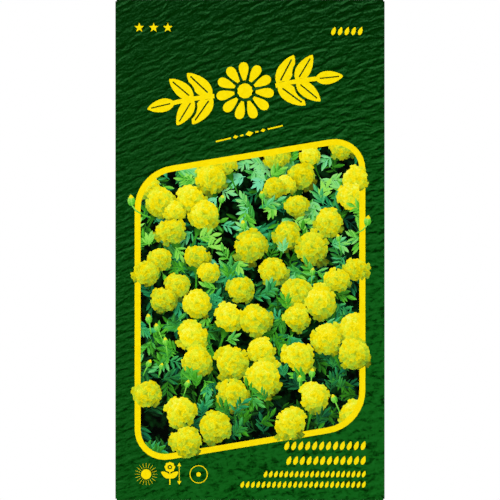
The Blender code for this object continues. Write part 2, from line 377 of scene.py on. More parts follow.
lay_sun(lay_on_back, "ground", centre=-27.0 + 19.0j, size=5.0)
lay_plant(lay_on_back, "ground", "bare_paper", foot=-12.5 + 14.0j, height=10.0)
lay_spacing(lay_on_back, "ground", "bare_paper", centre=3.0 + 19.0j, radius=4.2)
for x in (12.5, 17.5, 22.5):
    lay_on_back("ground", ring(0.9, 16), complex(x, 16.0))
    lay_on_back("ground", stroke([0, 0.8j + 0.3, 2.2j], 0.35), complex(x, 17.6))
    for turn in (1.05, math.pi - 1.05):
        lay_on_back("ground", blade(12), complex(x, 19.6), axis=2.4 * np.exp(1j * turn), spread=0.3)

LINE_COUNT, LONG_LINES, SHORT_LINE_END = 8, 5, 8.0
FIRST_LINE, LINE_PITCH, LINE_WIDTH = 5.0, 6.6, 0.3
for n in range(LINE_COUNT):
    right = BACK_HALF if n < LONG_LINES else SHORT_LINE_END
    level = FIRST_LINE - LINE_PITCH * n
    lay_on_back("ground", rectangle(-BACK_HALF, right, level, level + LINE_WIDTH))
lay_branch(lay_on_back, "leaf", "bare_paper", 22.5 - 56.0j, 18.0j, pairs=4, leaf_length=8.0, bend=0.06)
lay_daisy(lay_on_back, "yellow", "bare_paper", centre=22.0 - 34.5j, radius=6.6)


# The window: a slanted frame of plain yellow with round corners, and the dark bed behind the flowers.
WINDOW_HALF = 34.24
WINDOW_TOP, WINDOW_BOTTOM = 28.86, -58.22
WINDOW_SLANT = 0.166
SHARP_RADIUS, BLUNT_RADIUS = 8.9, 12.9
FRAME_WIDTH = 1.78


def window(inset):
    """The window's outline, this far in from the outside of its frame."""
    half, raised = WINDOW_HALF - inset, inset * math.hypot(1, WINDOW_SLANT)
    low, high = WINDOW_BOTTOM + raised, WINDOW_TOP - raised
    corners = [complex(x, level + WINDOW_SLANT * x)
               for x, level in ((-half, low), (half, low), (half, high), (-half, high))]
    return rounded(corners, [SHARP_RADIUS - inset, BLUNT_RADIUS - inset] * 2)


lay_shape("yellow", window(0))
lay_shape("night", window(FRAME_WIDTH))
window_shape = len(shapes) - 1

# The bed of marigolds in the window: dark leaves behind, then heads and leaves from the back forwards.
# The outlines of its parts are along + across j, in units of a part's own size
draw = random.Random(58)

LEAFLET = [0, 0.25 - 0.72j, 0.5 - 1j, 0.78 - 0.62j, 1, 0.78 + 0.62j, 0.5 + 1j, 0.25 + 0.72j]
PETAL = [0 - 0.3j, 0.55 - 0.85j, 0.88 - 0.95j, 1 - 0.5j, 0.92 - 0.05j, 0.99 + 0.45j, 0.86 + 0.95j,
         0.55 + 0.85j, 0 + 0.3j]
CALYX = [-0.5 + 0.34j, -1.04 + 0.24j, -1.34 + 0.07j, -2.5 + 0.05j, -2.5 - 0.05j, -1.34 - 0.07j,
         -1.04 - 0.24j, -0.5 - 0.34j]
CUP = [-1.1, -0.8 - 0.6j, 0 - 0.9j, 0.9 - 0.62j, 0.5 - 0.2j, 0.8, 0.5 + 0.2j, 0.9 + 0.62j, 0.9j,
       -0.8 + 0.6j]
PETALS_IN_RINGS = (15, 14, 12, 9, 6, 3)
heads = []


def leaf_sprig(root, axis, tone):
    """A marigold leaf: leaflets in pairs along a thin bent stalk, and one at its tip."""
    bend, hue = draw.uniform(-0.5, 0.5), draw.random()
    pairs = draw.choice((2, 3, 3, 4))
    stalk = np.array([k * np.exp(1j * bend * k) for k in np.linspace(0, 1, 5)])
    line = stroke(stalk, 0.22 / abs(axis))
    lay_shape("leaf", line, root, axis, tone=tone - 0.05, in_window=True, chance=hue)
    for n in range(pairs):
        share = 0.15 + 0.7 * n / pairs
        for side in (-1, 1):
            foot = root + axis * share * np.exp(1j * bend * share)
            lie = side * draw.uniform(0.5, 0.95) + 2 * bend * share
            length = (2.2 + 0.22 * abs(axis)) * draw.uniform(0.8, 1.15)
            leaflet = axis / abs(axis) * length * np.exp(1j * lie)
            lay_shape("leaf", LEAFLET, foot, leaflet, spread=draw.uniform(0.11, 0.18),
                      tone=tone + draw.uniform(-0.09, 0.09), in_window=True,
                      chance=hue * 0.8 + 0.2 * draw.random())
    tip = axis / abs(axis) * (2.4 + 0.2 * abs(axis)) * np.exp(2j * bend)
    lay_shape("leaf", LEAFLET, root + axis * stalk[-1] - tip * 0.2, tip, spread=0.19, tone=tone + 0.05,
              in_window=True, chance=hue)


def pompon(centre, radius, in_window=True):
    """A full double head, seen a little from above: rings of ruffled petals from its ragged rim inwards.
    Some show the green cup under it and its stalk."""
    if in_window and draw.random() < 0.4:
        lean = 1j * radius * np.exp(1j * draw.uniform(-0.5, 0.5))
        lay_shape("leaf", CALYX, centre, lean, tone=draw.uniform(0.5, 0.9), in_window=True, chance=0.1)
    squash, tilt = draw.uniform(0.76, 1.20), np.exp(1j * draw.uniform(-0.7, 0.7))
    lobes, lobe_start = draw.uniform(0.03, 0.12), draw.uniform(0, math.tau)
    apex = radius * complex(draw.uniform(-0.12, 0.12), draw.uniform(0.02, 0.18))
    tone = 0.60 + draw.uniform(-0.12, 0.12)
    heads.append((len(shapes), centre, radius))

    def squeeze(z):
        lobed = z / tilt * (1 + lobes * np.cos(3 * np.angle(z) + lobe_start))
        return tilt * complex(lobed.real, lobed.imag * squash)

    for n, count in enumerate(PETALS_IN_RINGS):
        height = n / len(PETALS_IN_RINGS)
        middle, reach = centre + apex * height, radius * (1 - height) ** 0.92
        start = draw.uniform(0, math.tau)
        for petal in range(count):
            way = np.exp(1j * (start + math.tau * (petal + draw.uniform(0.3, 0.7)) / count))
            ragged = 0.10 + 0.10 * max(0, -way.imag)
            end = squeeze(way * reach * (0.98 + draw.uniform(-ragged, ragged)))
            foot = squeeze(way * max(reach - 0.42 * radius, 0.0))
            wide = math.pi * reach / count * draw.uniform(1.05, 1.4) / abs(end - foot)
            lay_shape("petal", PETAL, middle + foot, end - foot, spread=wide,
                      tone=tone + draw.uniform(-0.10, 0.10), in_window=in_window, head=len(heads) - 1)


def bud(centre, size, turn, sway=0.0, in_window=True):
    """A closed bud, its cup split to show the yellow. Its stalk sways to the left by this many sizes."""
    lean = 1j * size * np.exp(1j * turn)
    line = np.array([-4.0 + 1j * sway, -3.3 + 0.6j * sway, -2.2 + 0.2j * sway, -0.9])
    run = line[-1] - line[0]
    stalk = stroke((line - line[0]) / run, 0.32 / abs(run))
    lay_shape("leaf", stalk, centre + lean * line[0], lean * run, tone=0.72, in_window=in_window, chance=0.2)
    lay_shape("petal", blade(10), centre - lean, 2.5 * lean, spread=0.30, tone=0.75, in_window=in_window)
    lay_shape("leaf", CUP, centre, lean, tone=0.92, in_window=in_window, chance=0.15)


def in_bed(margin, crowd=1.0):
    """A random place in the window, and how far down it is, from 0 to 1. More crowd puts more of them
    high."""
    x = draw.uniform(-WINDOW_HALF + margin, WINDOW_HALF - margin)
    down = draw.random() ** crowd
    y = WINDOW_SLANT * x + WINDOW_TOP - margin - down * (WINDOW_TOP - WINDOW_BOTTOM - 2 * margin)
    return complex(x, y), down


# What stands in front of the frame: a head's place, x + y j, and radius, and a bud's place, size, turn
# and sway. Leaves and other buds keep STANDING_ROOM clear round these heads
STANDING_OUT = [(-30.9 - 7j, 4.2), (-30.4 - 43j, 4.7), (31.2 + 21j, 4.1), (31.6 - 6j, 4.3),
                (31.0 - 31j, 4.8), (-19.0 - 57.2j, 4.8), (12.0 - 51.6j, 4.7)]
STANDING_BUDS = [(-35.2 + 14.5j, 1.35, 0.1, -3.9), (34.9 + 8.5j, 1.25, -0.15, 4.0)]
STANDING_ROOM = 3.5
growing = [(-place.imag, pompon, (place, radius, False)) for place, radius in STANDING_OUT]
growing += [(-place.imag, bud, (place, *form, False)) for place, *form in STANDING_BUDS]

# The heads in the bed keep off a few clearings. Further down they are bigger and stand wider apart
HEAD_COUNT, MOST_TRIES = 54, 20000
CLEARINGS, CLEARING_MARGIN, CLEARING_SIZES = 7, 6, (2.0, 3.2)
HEAD_MARGIN, HEAD_CROWD, HEAD_SIZES, HEAD_GROWTH = 2.5, 1.12, (3.1, 4.7), 1.2
HEAD_ROOM, HEAD_ROOM_GROWTH, HEAD_OFF_CLEARING = 0.50, 0.44, 0.8
taken = list(STANDING_OUT)
clearings = [(in_bed(CLEARING_MARGIN)[0], draw.uniform(*CLEARING_SIZES)) for n in range(CLEARINGS)]
tries = 0
while len(taken) < HEAD_COUNT and tries < MOST_TRIES:
    tries += 1
    place, down = in_bed(HEAD_MARGIN, HEAD_CROWD)
    radius = draw.uniform(*HEAD_SIZES) + HEAD_GROWTH * down
    room = HEAD_ROOM + HEAD_ROOM_GROWTH * down
    clear = all(abs(place - other) > size + HEAD_OFF_CLEARING * radius for other, size in clearings)
    if clear and all(abs(place - other) > room * (radius + size) for other, size in taken):
        taken.append((place, radius))
        growing.append((-place.imag, pompon, (place, radius)))

# Dark leaves, laid first, behind all the rest
DARK_LEAVES, DARK_LENGTHS, DARK_TONES, DARK_DIMMING = 160, (4, 7), (0.32, 0.64), 0.40
for n in range(DARK_LEAVES):
    place, down = in_bed(0)
    size = draw.uniform(*DARK_LENGTHS) * np.exp(1j * draw.uniform(0, math.tau))
    leaf_sprig(place, size, draw.uniform(*DARK_TONES) - DARK_DIMMING * down)


def gap_in_bed(margin, off_heads):
    """A random place in the window, off the clearings, and off every head by this share of its radius."""
    while True:
        place, down = in_bed(margin)
        open_place = all(abs(place - other) > size for other, size in clearings)
        for n, (other, size) in enumerate(taken):
            room = off_heads * size + (STANDING_ROOM if n < len(STANDING_OUT) else 0)
            open_place = open_place and abs(place - other) > room
        if open_place:
            return place, down


# Leaves under the heads, and leaves in the gaps between them: how many, how far off the heads in radii,
# their lengths and tones, how much darker they are at the foot, and how far behind their place they lie
UNDER = 140, 0.0, (4, 6.5), (0.66, 0.96), 0.54, 12
BETWEEN = 145, 0.95, (2.4, 4.8), (0.82, 1.14), 0.55, 4
for count, off_heads, lengths, tones, dimming, behind in (UNDER, BETWEEN):
    for n in range(count):
        place, down = gap_in_bed(0, off_heads)
        size = draw.uniform(*lengths) * np.exp(1j * draw.uniform(0, math.tau))
        tone = draw.uniform(*tones) - dimming * down
        growing.append((-place.imag - behind, leaf_sprig, (place, size, tone)))

BUDS, BUD_MARGIN, BUD_OFF_HEADS, BUD_SIZES, BUD_AHEAD = 14, 4, 1.15, (0.8, 1.15), 4
for n in range(BUDS):
    place, _ = gap_in_bed(BUD_MARGIN, BUD_OFF_HEADS)
    size, turn = draw.uniform(*BUD_SIZES), draw.uniform(-0.6, 0.6)
    growing.append((-place.imag + BUD_AHEAD, bud, (place, size, turn)))
for _, grow, settings in sorted(growing, key=lambda item: item[0]):
    grow(*settings)


# The print laid into the sheet. Its shapes are cut against each other, the covered parts dropped, and
# what is left becomes the outer face of the paper, so that each ink has its own faces and sharp edges.
# Blender's modelling operators can't lay outlines into a sheet, so this mesh is triangulated in code.
FOLD_STEPS, JOG_STEPS = 8, 4
EDGE_STEP = 2.4
CUT_TOLERANCE = 1e-4


def sides(corners):
    """A closed outline's sides, as pairs of corners."""
    return zip(corners, [*corners[1:], corners[0]])


def subdivided(start, end, fixed):
    """Points from start up to but not including end, EDGE_STEP apart at most, through the fixed ones."""
    run = abs(end - start)
    marks = {0.0, 1.0}
    for point in fixed:
        share = ((point - start) / (end - start)).real
        if abs(point - start - (end - start) * share) < CUT_TOLERANCE and 0 < share < 1:
            marks.add(round(share, 7))
    marks = sorted(marks)
    shares = []
    for low, high in zip(marks, marks[1:]):
        count = max(1, math.ceil((high - low) * run / EDGE_STEP))
        shares += [low + (high - low) * n / count for n in range(count)]
    return [start + (end - start) * share for share in shares]


def triangulated(points, edges=(), loops=(), kind=0, need_covers=False):
    """Cuts flat shapes and lines against each other. Gives points, faces and the shapes over each face."""
    vectors = [Vector((p.real, p.imag)) for p in points]
    cut = delaunay_2d_cdt(vectors, list(edges), list(loops), kind, CUT_TOLERANCE, need_covers)
    return cut[0], cut[2], cut[5]


# Lines across the flat sheet that its folds and the seam's jog need, as pairs of end points
station_lines = []
for side in (-1, 1):
    for n in range(FOLD_STEPS + 1):
        s = side * (SIDE_FOLD_X + SIDE_TURN * n / FOLD_STEPS)
        station_lines.append((complex(s, -END_FOLD_Y), complex(s, END_FOLD_Y)))
        t = side * (END_FOLD_Y + END_TURN * n / FOLD_STEPS)
        station_lines.append((complex(-SIDE_FOLD_X, t), complex(SIDE_FOLD_X, t)))
for x in np.linspace(*SEAM_JOG, JOG_STEPS + 1):
    s = BACK_SHIFT - x
    station_lines.append((complex(s, -END_FOLD_Y), complex(s, END_FOLD_Y)))
line_ends = [point for line in station_lines for point in line]

# First cut: every shape against every other. Those of the picture count only inside its window. The
# first is the sheet's own outline, which also takes the ends of the folds' lines
points, loops = [], []
for shape in shapes:
    fixed = () if loops else line_ends
    loop = [point for start, end in sides(shape["points"]) for point in subdivided(start, end, fixed)]
    loops.append(list(range(len(points), len(points) + len(loop))))
    points += loop
cut_points, every_face, every_cover = triangulated(points, (), loops, 1, True)


def on_sheet(face, corners):
    """Whether the middle of a face lies in the sheet's outline."""
    s, t = (abs(sum(corners[n][axis] for n in face)) / 3 for axis in (0, 1))
    reach = TOP_END if sum(corners[n][1] for n in face) > 0 else -BOTTOM_END
    return (s < SIDE_FOLD_X and t < reach) or (s < SEAM_REACH and t < END_FOLD_Y)


cut_faces, tops = [], []
for face, cover in zip(every_face, every_cover):
    if on_sheet(face, cut_points):
        framed = window_shape in cover
        cut_faces.append(face)
        tops.append(max([n for n in cover if framed or not shapes[n]["in_window"]], default=0))

# A shape's leavings that are too small to see go to the neighbour that they share the most edge with
SLIVER = 0.012
neighbours = {}
for number, face in enumerate(cut_faces):
    for side in sides(face):
        neighbours.setdefault(tuple(sorted(side)), []).append(number)
cut_at = np.array([tuple(p) for p in cut_points]) @ np.array([1, 1j])
corners = cut_at[np.array(cut_faces)]
areas = ((corners[:, 1] - corners[:, 0]).conj() * (corners[:, 2] - corners[:, 0])).imag / 2
seen = [False] * len(cut_faces)
for first in range(len(cut_faces)):
    if seen[first]:
        continue
    seen[first], patch, shared = True, [first], {}
    for number in patch:
        for side in sides(cut_faces[number]):
            length = abs(cut_at[side[0]] - cut_at[side[1]])
            for other in neighbours[tuple(sorted(side))]:
                if tops[other] != tops[first]:
                    shared[tops[other]] = shared.get(tops[other], 0) + length
                elif not seen[other]:
                    seen[other] = True
                    patch.append(other)
    if shared and sum(areas[number] for number in patch) < SLIVER:
        for number in patch:
            tops[number] = max(shared, key=shared.get)

borders = []
for edge, met in neighbours.items():
    if len(met) == 1 or tops[met[0]] != tops[met[1]]:
        borders.append(edge)

# Second cut: the borders that show, the folds' lines, and loose points that let the sheet curve. They
# lie closer together over the picture than elsewhere
CLOSE_GRID, WIDE_GRID, INNER_GRID = 1.6, 2.8, 5.0
CLOSE_HALF, CLOSE_LOW, CLOSE_HIGH = WINDOW_HALF + 1, WINDOW_BOTTOM - 7, WINDOW_TOP + 7


def loose_points(step, left, right, low, high):
    """A triangular grid of points inside a rectangle."""
    found = []
    for row, t in enumerate(np.arange(low + step / 2, high - step / 3, step * 0.87)):
        for s in np.arange(left + step * (0.35 + 0.5 * (row % 2)), right - step / 3, step):
            found.append(complex(s, t))
    return found


def with_lines(old_points, old_edges):
    """These points and edges, numbered anew, with the folds' lines."""
    used = sorted({corner for edge in old_edges for corner in edge})
    renumber = {old: new for new, old in enumerate(used)}
    points = [complex(*old_points[old]) for old in used]
    edges = [(renumber[a], renumber[b]) for a, b in old_edges]
    for line in station_lines:
        edges.append((len(points), len(points) + 1))
        points += line
    return points, edges


points, edges = with_lines(cut_points, borders)
points += loose_points(CLOSE_GRID, -CLOSE_HALF, CLOSE_HALF, CLOSE_LOW, CLOSE_HIGH)
flap_start = END_FOLD_Y + END_TURN
for area in ((-SEAM_REACH, SEAM_REACH, -END_FOLD_Y, END_FOLD_Y),
             (-SIDE_FOLD_X, SIDE_FOLD_X, flap_start, TOP_END),
             (-SIDE_FOLD_X, SIDE_FOLD_X, BOTTOM_END, -flap_start)):
    for p in loose_points(WIDE_GRID, *area):
        if not (abs(p.real) < CLOSE_HALF and CLOSE_LOW < p.imag < CLOSE_HIGH):
            points.append(p)
flat_points, flat_faces, _ = triangulated(points, edges)

lookup = BVHTree.FromPolygons([(p.x, p.y, 0) for p in cut_points], cut_faces)
outer_faces = [face for face in flat_faces if on_sheet(face, flat_points)]
outer_tops = []
for face in outer_faces:
    middle = sum((flat_points[n] for n in face), Vector((0, 0))) / 3
    outer_tops.append(tops[lookup.find_nearest((middle.x, middle.y, 0))[2]])

# Inner face of the paper: the same outline and folds, with few points
edge_uses = {}
for face in outer_faces:
    for side in sides(face):
        edge_uses.setdefault(tuple(sorted(side)), []).append(side)
cut_edges = [met[0] for met in edge_uses.values() if len(met) == 1]
points, edges = with_lines(flat_points, cut_edges)
points += loose_points(INNER_GRID, -SEAM_REACH, SEAM_REACH, -END_FOLD_Y, END_FOLD_Y)
inner_points, inner_faces, _ = triangulated(points, edges)
inner_faces = [face for face in inner_faces if on_sheet(face, inner_points)]
inner_at = {tuple(p): n for n, p in enumerate(inner_points)}

# Both faces folded up, half the paper's thickness each way, and the cut edges closed between them
outer_flat, inner_flat = (np.array([tuple(p) for p in face]) for face in (flat_points, inner_points))
flat = np.concatenate([outer_flat, inner_flat])
half = np.concatenate([np.full(len(outer_flat), PAPER / 2), np.full(len(inner_flat), -PAPER / 2)])
way_out = outward(flat[:, 0], flat[:, 1])
places = (folded(flat[:, 0], flat[:, 1]) + way_out * half[:, None]) * MM

first_inner = len(outer_flat)
faces = [tuple(face) for face in outer_faces]
faces += [tuple(n + first_inner for n in reversed(face)) for face in inner_faces]
for a, b in cut_edges:
    inner_a, inner_b = (inner_at[tuple(flat_points[n])] + first_inner for n in (a, b))
    faces.append((b, a, inner_a, inner_b))
mesh = bpy.data.meshes.new("envelope_paper")
mesh.from_pydata([tuple(p) for p in places], [], faces)

INKS = ["ground", "yellow", "night", "petal", "leaf", "bare_paper"]
ink_numbers = [INKS.index(shapes[top]["ink"]) for top in outer_tops]
ink_numbers += [INKS.index("bare_paper")] * (len(inner_faces) + len(cut_edges))
mesh.polygons.foreach_set("material_index", ink_numbers)
smooth = [True] * (len(outer_faces) + len(inner_faces)) + [False] * len(cut_edges)
mesh.polygons.foreach_set("use_smooth", smooth)

corner_points = np.array([n for face in faces for n in face])
inner_from, edge_from = 3 * len(outer_faces), 3 * (len(outer_faces) + len(inner_faces))
corner_normals = (way_out * np.sign(half)[:, None])[corner_points]
corner_normals[edge_from:] = 0
mesh.normals_split_custom_set([tuple(n) for n in corner_normals])

# What the inks need to know at each corner: its place in its own petal or leaf, how light it is there,
# and how much of its light the heads in front take
tops_of_corners = np.repeat(outer_tops, 3)


def of_shapes(key):
    """A value of the topmost shape at each corner of the outer face."""
    return np.array([shape[key] for shape in shapes])[tops_of_corners]


spots = outer_flat[corner_points[:inner_from]] @ np.array([1, 1j])
local = (spots - of_shapes("origin")) / of_shapes("axis")
place_in_shape = np.stack([local.real, local.imag / of_shapes("spread"), 10 * of_shapes("chance")], axis=-1)

# A head is a dome, lit from above its top left, and shades what lies behind it and a little below
HEAD_LIGHT = (-0.28, 0.60, 0.72)
DOME_FLATNESS, DOME_CONTRAST, DOME_MIDDLE = 0.9, 0.46, 0.60
SHADOW_DROP, SHADOW_DEPTH = 0.06 - 0.26j, 0.54
SHADOW_REACH, SHADOW_FADE = 0.80, 0.50
head = of_shapes("head")
head_centres, head_radii = (np.array([form[n] for form in heads]) for n in (1, 2))
away = (spots - head_centres[head]) / head_radii[head]
rise = np.sqrt(np.clip(1 - DOME_FLATNESS * np.abs(away) ** 2, 0, 1))
dome = HEAD_LIGHT[0] * away.real + HEAD_LIGHT[1] * away.imag + HEAD_LIGHT[2] * rise - DOME_MIDDLE
tone = of_shapes("tone") + DOME_CONTRAST * dome * (head >= 0)

light = np.ones(len(spots))
in_picture = np.isin(of_shapes("ink"), ("night", "petal", "leaf"))
for first_petal, centre, radius in heads:
    away = np.abs(spots - centre - radius * SHADOW_DROP) / radius
    below = (tops_of_corners < first_petal) & in_picture
    light *= 1 - SHADOW_DEPTH * (1 - ease((away - SHADOW_REACH) / SHADOW_FADE)) * below

for name, kind, field, values in (("print_place", "FLOAT_VECTOR", "vector", place_in_shape),
                                  ("print_tone", "FLOAT", "value", tone),
                                  ("print_light", "FLOAT", "value", light)):
    padding = np.zeros((len(corner_points) - inner_from, *values.shape[1:]))
    values = np.concatenate([values, padding]).astype(np.float32)
    mesh.attributes.new(name, kind, "CORNER").data.foreach_set(field, values.ravel())

# The bake's map is the flat sheet itself. Its inner face and its edges lie small in two free corners,
# and the inner rim of the edges smaller still, so that they have some width there
MAP_SIDE, MAP_LOWERED = 178.0, 1.5
INNER_MIDDLE, EDGE_MIDDLE = (8.0, MAP_SIDE - 7.5), (26.0, MAP_SIDE - 7.5)
SMALL, SMALLER = 0.080, 0.076
sizes = np.full((len(corner_points), 1), 1.0)
middles = np.tile([MAP_SIDE / 2, MAP_SIDE / 2 - MAP_LOWERED], (len(corner_points), 1))
sizes[inner_from:], middles[inner_from:] = SMALL, INNER_MIDDLE
sizes[edge_from:][corner_points[edge_from:] >= first_inner] = SMALLER
middles[edge_from:] = EDGE_MIDDLE
bake_map = (flat[corner_points] * sizes + middles) / MAP_SIDE
mesh.uv_layers.new(name="OFBake").data.foreach_set("uv", bake_map.astype(np.float32).ravel())


def linear(hex_colour):
    """A colour written as sRGB hex, in the linear light that the shaders use."""
    parts = [int(hex_colour[n:n + 2], 16) / 255 for n in (1, 3, 5)]
    return (*[c / 12.92 if c <= 0.04045 else ((c + 0.055) / 1.055) ** 2.4 for c in parts], 1.0)


def node(tree, kind, inputs=(), stops=(), **settings):
    """Adds a node and gives its outputs. Its inputs, in order or else by name or number, are values or
    other nodes' outputs, and stops are a colour ramp's places and colours."""
    made = tree.nodes.new("ShaderNode" + kind)
    for name, value in settings.items():
        setattr(made, name, value)
    for number, (at, colour) in enumerate(stops):
        elements = made.color_ramp.elements
        stop = elements[number] if number < 2 else elements.new(at)
        stop.position, stop.color = at, linear(colour)
    for name, value in inputs.items() if isinstance(inputs, dict) else enumerate(inputs):
        if isinstance(value, bpy.types.NodeSocket):
            tree.links.new(value, made.inputs[name])
        else:
            made.inputs[name].default_value = value
    return made.outputs


def finish(name, roughness, specular=0.5):
    """A new material, its nodes, its shader, and the object coordinates that its patterns lie on."""
    material = bpy.data.materials.new(name)
    material.use_nodes = True
    tree = material.node_tree
    shader = tree.nodes["Principled BSDF"]
    shader.inputs["Roughness"].default_value = roughness
    shader.inputs["Specular IOR Level"].default_value = specular
    return material, tree, shader, node(tree, "TexCoord")["Object"]


def mottled(tree, shader, spot, size, detail, stops, depth=0.0, strength=0.0):
    """Colours a material by a noise of this size, which with a depth also roughens it."""
    noise = node(tree, "TexNoise", {"Vector": spot, "Scale": 1 / size, "Detail": detail})[0]
    tree.links.new(node(tree, "ValToRGB", [noise], stops)[0], shader.inputs["Base Color"])
    if depth:
        bump = node(tree, "Bump", {"Height": noise, "Distance": depth, "Strength": strength})[0]
        tree.links.new(bump, shader.inputs["Normal"])


# Offset ink on thin coated paper: a low satin sheen, and the faintest tooth of the paper under it
INK_ROUGHNESS, INK_SPECULAR = 0.22, 0.12
TOOTH, TOOTH_DEPTH = 0.45 * MM, 0.002 * MM


def printed(name):
    material, tree, shader, spot = finish(name, INK_ROUGHNESS, INK_SPECULAR)
    tooth = node(tree, "TexNoise", {"Vector": spot, "Scale": 1 / TOOTH, "Detail": 2.0})[0]
    bump = node(tree, "Bump", {"Height": tooth, "Distance": TOOTH_DEPTH, "Strength": 0.6})[0]
    tree.links.new(bump, shader.inputs["Normal"])
    return material, tree, shader, spot


# Printed green. The grain is drawn, not pressed: it is how steeply a stretched noise with twisted ripples
# falls to the lower right, so each ridge has a light side and a dark one, and fine grit lies over it. The
# lines on which it lies are bowed, so the ridges climb more steeply at the left, and splayed, so they are
# a little wider at the right, where they are also stronger.
GRAIN_LENGTH, GRAIN_WIDTH, GRAIN_SLANT = 3.9 * MM, 1.75 * MM, math.radians(17)
GRAIN_FALL = (-0.14 * MM, 0.36 * MM, 0)
BOW, SPLAY = 1.6, 1.2
WAVE_LENGTH = 0.314
RIPPLE_PITCH, RIPPLE_DETAIL, RIPPLE_TWIST, RIPPLE_SHARE = 2.3 * MM, 3.2, 4.0, 0.14
STRENGTH, STRENGTH_RIGHTWARDS = 1.95, 8.0
GRIT, GRIT_DEPTH = 0.45 * MM, 0.8
ground, tree, shader, spot = printed("offset_printed_green")
x, y, _ = node(tree, "SeparateXYZ", [spot])
climb = node(tree, "Math", [y, -SPLAY], operation="MULTIPLY")[0]
climb = node(tree, "Math", [x, BOW, climb], operation="MULTIPLY_ADD")[0]
bent_y = node(tree, "Math", [x, climb, y], operation="MULTIPLY_ADD")[0]
bent = node(tree, "CombineXYZ", [x, bent_y])[0]
heights = []
for offset in ((0, 0, 0), GRAIN_FALL):
    moved = node(tree, "VectorMath", [bent, offset], operation="ADD")[0]
    laid = node(tree, "Mapping", {"Vector": moved, "Rotation": (0, 0, GRAIN_SLANT),
                                  "Scale": (GRAIN_LENGTH, GRAIN_WIDTH, 1)}, vector_type="TEXTURE")[0]
    grain = node(tree, "TexNoise", {"Vector": laid, "Scale": 1.0, "Detail": 2.0, "Roughness": 0.5,
                                    "Distortion": 0.4}, noise_dimensions="2D")[0]
    ripple = node(tree, "TexWave", {"Vector": laid, "Scale": WAVE_LENGTH * GRAIN_WIDTH / RIPPLE_PITCH,
                                    "Distortion": RIPPLE_TWIST, "Detail": 2.0, "Detail Roughness": 0.5,
                                    "Detail Scale": RIPPLE_DETAIL * RIPPLE_PITCH / GRAIN_WIDTH},
                  bands_direction="Y")[1]
    raised = node(tree, "Math", [ripple, RIPPLE_SHARE, grain], operation="MULTIPLY_ADD")
    heights.append(raised[0])
slope = node(tree, "Math", heights, operation="SUBTRACT")[0]
grit = node(tree, "TexNoise", {"Vector": spot, "Scale": 1 / GRIT, "Detail": 2.0})[0]
grit = node(tree, "Math", [grit, GRIT_DEPTH, 0.5 - GRIT_DEPTH / 2], operation="MULTIPLY_ADD")[0]
strong = node(tree, "Math", [x, STRENGTH_RIGHTWARDS, STRENGTH], operation="MULTIPLY_ADD")[0]
relief = node(tree, "Math", [slope, strong, grit], operation="MULTIPLY_ADD")[0]

# It is a deep green at the top and the left. Down from FADE_FROM, and sooner at the right, it grows
# lighter, and the ridges are lost in dark specks
FADE_FROM, FADE_START, FADE_PACE, FADE_PACE_RIGHTWARDS = 67 * MM, 0.08, 7.2, 70.0
SPECK, SPECK_CONTRAST, SPECK_LEVEL, SPECK_RELIEF = 2.2 * MM, 1.6, -0.525, 0.40
SPECKS_FROM, SPECKS_FULL = 0.45, 0.95
fallen = node(tree, "Math", [FADE_FROM, y], operation="SUBTRACT")[0]
pace = node(tree, "Math", [x, FADE_PACE_RIGHTWARDS, FADE_PACE], operation="MULTIPLY_ADD")[0]
down = node(tree, "Math", [fallen, pace, FADE_START], operation="MULTIPLY_ADD", use_clamp=True)[0]
specks = node(tree, "TexNoise", {"Vector": spot, "Scale": 1 / SPECK, "Detail": 4.0, "Roughness": 0.62,
                                 "Distortion": 0.6})[0]
specks = node(tree, "Math", [specks, SPECK_CONTRAST, SPECK_LEVEL], operation="MULTIPLY_ADD")[0]
specks = node(tree, "Math", [relief, SPECK_RELIEF, specks], operation="MULTIPLY_ADD")[0]
fade = node(tree, "MapRange", {"Value": down, "From Min": SPECKS_FROM, "From Max": SPECKS_FULL})[0]
relief = node(tree, "Mix", {0: fade, 2: relief, 3: specks})[0]
UPPER = [(0.0, "#002000"), (0.21, "#002500"), (0.34, "#002800"), (0.43, "#012B04"), (0.5, "#032D07"),
         (0.57, "#08320D"), (0.66, "#0F3B15"), (0.79, "#17481C"), (1.0, "#225A2A")]
LOWER = [(0.0, "#001C00"), (0.16, "#002C02"), (0.30, "#054109"), (0.40, "#0A4F10"), (0.48, "#0D5714"),
         (0.57, "#0F5B16"), (0.66, "#105D18"), (0.79, "#12601B"), (1.0, "#15661E")]
upper, lower = (node(tree, "ValToRGB", [relief], greens)[0] for greens in (UPPER, LOWER))
colour = node(tree, "Mix", {0: down, 6: upper, 7: lower}, data_type="RGBA")[2]
tree.links.new(colour, shader.inputs["Base Color"])

# Printed yellow: one full ink, a shade deeper where the paper takes more of it
yellow, tree, shader, spot = printed("offset_printed_yellow")
mottled(tree, shader, spot, size=1.2 * MM, detail=2.0, stops=[(0.3, "#F5DA00"), (0.7, "#FBE40A")])

# Printed darkness under the plants: green-black, with dim green where a leaf can be guessed
night, tree, shader, spot = printed("offset_printed_dark")
mottled(tree, shader, spot, size=2.4 * MM, detail=4.0, stops=[(0.47, "#000300"), (0.72, "#08300E")])


def picture_inputs(tree):
    """What a leaf or petal ink reads: its place in its shape, its three parts, its tone and its light."""
    where = node(tree, "Attribute", attribute_name="print_place")["Vector"]
    tone = node(tree, "Attribute", attribute_name="print_tone")["Fac"]
    light = node(tree, "Attribute", attribute_name="print_light")["Fac"]
    return where, node(tree, "SeparateXYZ", [where]), tone, light


